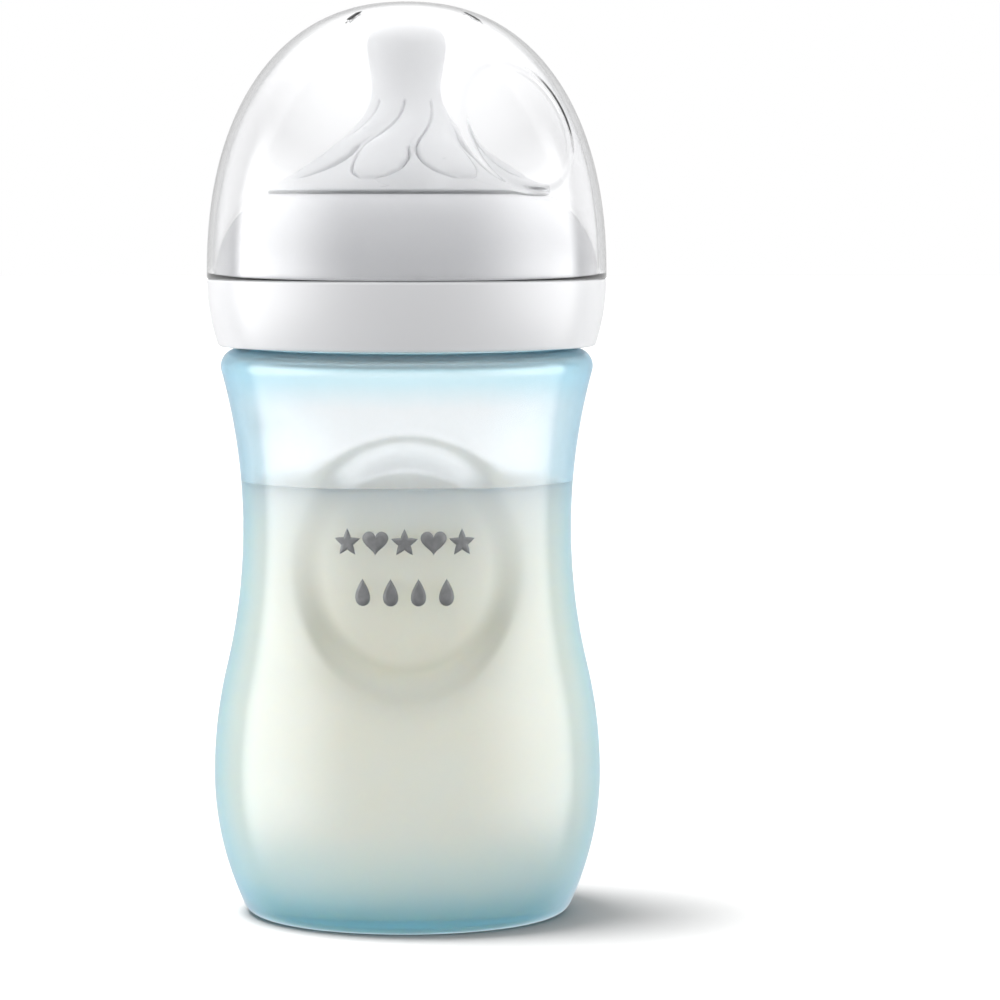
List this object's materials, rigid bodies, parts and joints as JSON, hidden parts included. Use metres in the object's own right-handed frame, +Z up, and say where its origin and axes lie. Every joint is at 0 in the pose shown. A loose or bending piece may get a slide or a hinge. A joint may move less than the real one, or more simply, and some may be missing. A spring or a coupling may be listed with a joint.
{
  "type": "baby bottle",
  "caption": "Wide-neck feeding bottle with a narrow waist and a round front panel, a silicone teat, a screw ring, a clear dome cap, and milk inside.",
  "frame": {"origin": "on the bottle's axis, at the level that its foot stands on", "axes": "+Z is up along the bottle's axis; the round front panel faces -Y"},
  "size_m": [0.072, 0.072, 0.1644],
  "materials": {
    "bottle": "gloss",
    "milk": "satin",
    "silicone": "satin",
    "ring": "gloss",
    "cap": "gloss",
    "print": "matte"
  },
  "bodies": {
    "bottle": {"bottle_body": "bottle", "milk": "milk"},
    "teat": {"teat": "silicone"},
    "ring": {"screw_ring": "ring"},
    "cap": {"dome_cap": "cap"}
  },
  "joints": [
    {"name": "teat_rise", "type": "slide", "parent": "bottle", "child": "teat", "axis": [0, 0, 1], "range_m": [0, 0.0202]},
    {"name": "ring_turn", "type": "hinge", "parent": "teat", "child": "ring", "pos_m": [0, 0, 0.1148], "axis": [0, 0, 1], "range_deg": [0, 1440]},
    {"name": "cap_lift", "type": "slide", "parent": "ring", "child": "cap", "axis": [0, 0, 1], "range_m": [0, 0.055]}
  ],
  "couplings": [
    {"joint": "teat_rise", "follows": "ring_turn", "m_per_rad": 0.00079577}
  ]
}
